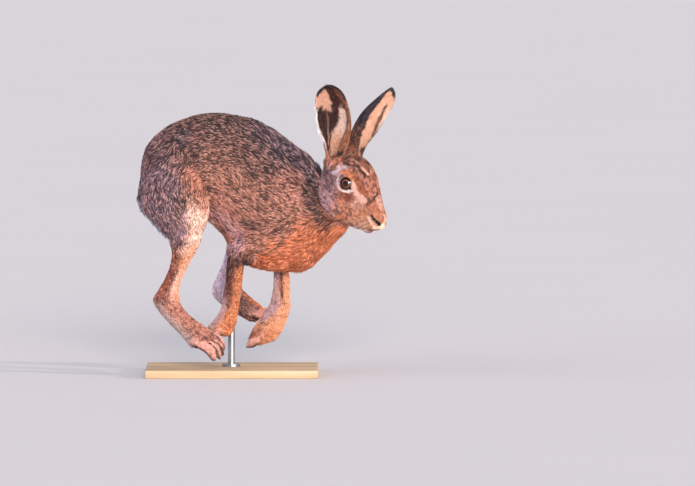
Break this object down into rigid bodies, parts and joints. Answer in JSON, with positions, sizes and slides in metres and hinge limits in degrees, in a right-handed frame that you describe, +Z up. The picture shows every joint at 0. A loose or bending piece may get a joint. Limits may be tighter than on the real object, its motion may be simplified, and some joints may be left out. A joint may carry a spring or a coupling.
{
  "type": "galloping brown hare model",
  "caption": "Life-size still model of a brown hare at a gallop, legs gathered under an arched back and ears raised, held over a flat base by a short rod.",
  "frame": {"origin": "middle of the stand base's underside", "axes": "+X the way the hare runs, +Y the hare's left side, +Z up"},
  "size_m": [0.3725, 0.1734, 0.4241],
  "materials": {
    "coat": "grizzled brown fur",
    "leg_fur": "short tawny fur",
    "tail_fur": "soft fur, black above and white below",
    "ear": "thin skin with very short fur",
    "eye": "wet gloss",
    "base_wood": "pale satin",
    "rod_steel": "brushed"
  },
  "bodies": {
    "root": {"head": "coat", "neck": "coat", "torso": "coat", "tail": "tail_fur", "ear_right": "ear", "ear_left": "ear", "eye_right": "eye", "eye_left": "eye", "upper_arm_right": "coat", "forearm_right": "leg_fur", "fore_paw_right": "leg_fur", "upper_arm_left": "coat", "forearm_left": "leg_fur", "fore_paw_left": "leg_fur", "thigh_right": "coat", "shank_right": "leg_fur", "hind_foot_right": "leg_fur", "thigh_left": "coat", "shank_left": "leg_fur", "hind_foot_left": "leg_fur", "stand_base": "base_wood", "stand_rod": "rod_steel"}
  },
  "joints": []
}
